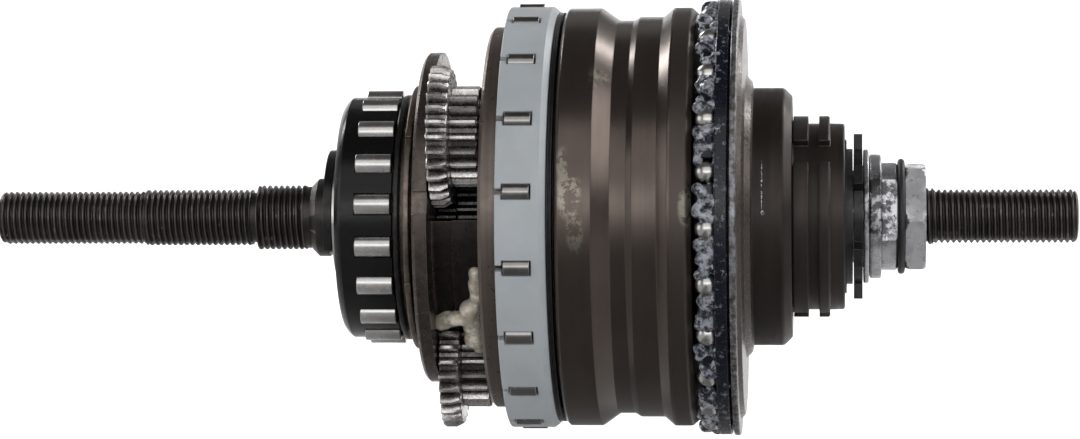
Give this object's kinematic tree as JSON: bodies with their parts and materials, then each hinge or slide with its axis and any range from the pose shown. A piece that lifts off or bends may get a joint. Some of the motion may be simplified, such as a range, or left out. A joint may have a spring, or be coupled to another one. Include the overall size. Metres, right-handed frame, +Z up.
{
  "type": "internal gear hub",
  "caption": "Bare internal assembly of a bicycle gear hub: threaded axle, two stepped planetary stages, roller clutches, gear drum, ball ring and sprocket driver.",
  "frame": {"origin": "middle of the axle, on its centre line", "axes": "+X along the axle towards the sprocket side, +Z up, -Y the side the picture shows"},
  "size_m": [0.184, 0.074, 0.0741],
  "materials": {
    "axle_steel": "black phosphate, satin, rolled threads",
    "dark_steel": "dark heat-treated steel, turned, oiled",
    "bright_steel": "ground and polished steel",
    "gear_steel": "worn bright gear steel with an oil film",
    "black_steel": "black oxide spring steel",
    "black_plastic": "glossy moulded black plastic",
    "grey_plastic": "satin light grey moulded plastic",
    "chrome": "bright plated steel",
    "rubber": "black rubber",
    "bronze": "sintered bronze"
  },
  "bodies": {
    "axle": {"axle": "axle_steel", "left_collar": "axle_steel", "left_clip": "black_steel", "left_side_washer": "bright_steel", "left_spacer": "bright_steel", "sun_spacers": "bright_steel", "sun_gear_48": "gear_steel", "sun_gear_31": "gear_steel", "sun_pawl_34": "gear_steel", "sun_pawl_43": "gear_steel", "sun_pawl_48": "gear_steel", "sun_pawl_31": "gear_steel", "right_cone": "chrome", "right_seal": "rubber", "cone_washer": "chrome", "cone_o_ring": "rubber", "right_lock_nut": "chrome"},
    "carrier": {"planet_carrier": "dark_steel", "left_clutch_cam": "dark_steel", "left_clutch_plate": "dark_steel", "left_clutch_spring": "black_steel", "planet_pins_overdrive": "bright_steel", "planet_pins_reduction": "bright_steel", "carrier_bush": "bronze"},
    "left_cage": {"left_clutch_cage": "black_plastic", "left_clutch_rollers": "bright_steel"},
    "ring_gear": {"overdrive_ring_gear": "dark_steel", "cage_snap_ring": "black_steel"},
    "middle_cage": {"middle_clutch_cage": "grey_plastic", "middle_clutch_rollers": "bright_steel"},
    "driver": {"gear_drum": "dark_steel", "driver": "dark_steel", "driver_bush": "bronze", "right_dust_cap": "dark_steel"},
    "ball_ring": {"ball_retainer": "bright_steel", "hub_balls": "bright_steel"},
    "cone_bearing": {"cone_retainer": "bright_steel", "cone_balls": "bright_steel"},
    "free_sun_34": {"sun_gear_34": "gear_steel"},
    "free_sun_43": {"sun_gear_43": "gear_steel"},
    "shift_ring": {"shift_ring": "black_steel"},
    "overdrive_planet_1": {"overdrive_planet_1": "gear_steel"},
    "reduction_planet_1": {"reduction_planet_1": "gear_steel"},
    "overdrive_planet_2": {"overdrive_planet_2": "gear_steel"},
    "reduction_planet_2": {"reduction_planet_2": "gear_steel"},
    "overdrive_planet_3": {"overdrive_planet_3": "gear_steel"},
    "reduction_planet_3": {"reduction_planet_3": "gear_steel"}
  },
  "joints": [
    {"name": "driver_spin", "type": "hinge", "parent": "axle", "child": "driver", "pos_m": [0, 0, 0], "axis": [1, 0, 0], "continuous": true},
    {"name": "carrier_spin", "type": "hinge", "parent": "axle", "child": "carrier", "pos_m": [0, 0, 0], "axis": [1, 0, 0], "continuous": true},
    {"name": "ring_gear_spin", "type": "hinge", "parent": "axle", "child": "ring_gear", "pos_m": [0, 0, 0], "axis": [1, 0, 0], "continuous": true},
    {"name": "free_sun_34_spin", "type": "hinge", "parent": "axle", "child": "free_sun_34", "pos_m": [0, 0, 0], "axis": [1, 0, 0], "continuous": true},
    {"name": "free_sun_43_spin", "type": "hinge", "parent": "axle", "child": "free_sun_43", "pos_m": [0, 0, 0], "axis": [1, 0, 0], "continuous": true},
    {"name": "cone_bearing_spin", "type": "hinge", "parent": "axle", "child": "cone_bearing", "pos_m": [0, 0, 0], "axis": [1, 0, 0], "continuous": true},
    {"name": "ball_ring_spin", "type": "hinge", "parent": "driver", "child": "ball_ring", "pos_m": [0, 0, 0], "axis": [1, 0, 0], "continuous": true},
    {"name": "left_cage_release", "type": "hinge", "parent": "carrier", "child": "left_cage", "pos_m": [0, 0, 0], "axis": [1, 0, 0], "range_deg": [0, 5]},
    {"name": "middle_cage_release", "type": "hinge", "parent": "ring_gear", "child": "middle_cage", "pos_m": [0, 0, 0], "axis": [1, 0, 0], "range_deg": [0, 4]},
    {"name": "shift_turn", "type": "hinge", "parent": "axle", "child": "shift_ring", "pos_m": [0, 0, 0], "axis": [1, 0, 0], "range_deg": [0, 154]},
    {"name": "overdrive_planet_1_spin", "type": "hinge", "parent": "carrier", "child": "overdrive_planet_1", "pos_m": [0, -0.01999, 0.01328], "axis": [1, 0, 0], "continuous": true},
    {"name": "overdrive_planet_2_spin", "type": "hinge", "parent": "carrier", "child": "overdrive_planet_2", "pos_m": [0, -0.00151, -0.02395], "axis": [1, 0, 0], "continuous": true},
    {"name": "overdrive_planet_3_spin", "type": "hinge", "parent": "carrier", "child": "overdrive_planet_3", "pos_m": [0, 0.0215, 0.01067], "axis": [1, 0, 0], "continuous": true},
    {"name": "reduction_planet_1_spin", "type": "hinge", "parent": "carrier", "child": "reduction_planet_1", "pos_m": [0, -0.01612, -0.008], "axis": [1, 0, 0], "continuous": true},
    {"name": "reduction_planet_2_spin", "type": "hinge", "parent": "carrier", "child": "reduction_planet_2", "pos_m": [0, 0.01499, -0.00996], "axis": [1, 0, 0], "continuous": true},
    {"name": "reduction_planet_3_spin", "type": "hinge", "parent": "carrier", "child": "reduction_planet_3", "pos_m": [0, 0.00113, 0.01796], "axis": [1, 0, 0], "continuous": true}
  ],
  "couplings": [
    {"joint": "carrier_spin", "follows": "driver_spin", "ratio": 0.5303},
    {"joint": "ring_gear_spin", "follows": "driver_spin", "ratio": 0.85664},
    {"joint": "free_sun_34_spin", "follows": "driver_spin", "ratio": -0.91711},
    {"joint": "free_sun_43_spin", "follows": "driver_spin", "ratio": -0.25899},
    {"joint": "cone_bearing_spin", "follows": "driver_spin", "ratio": 0.54877},
    {"joint": "overdrive_planet_1_spin", "follows": "driver_spin", "ratio": 1.697},
    {"joint": "overdrive_planet_2_spin", "follows": "driver_spin", "ratio": 1.697},
    {"joint": "overdrive_planet_3_spin", "follows": "driver_spin", "ratio": 1.697},
    {"joint": "reduction_planet_1_spin", "follows": "driver_spin", "ratio": 1.1742},
    {"joint": "reduction_planet_2_spin", "follows": "driver_spin", "ratio": 1.1742},
    {"joint": "reduction_planet_3_spin", "follows": "driver_spin", "ratio": 1.1742}
  ]
}
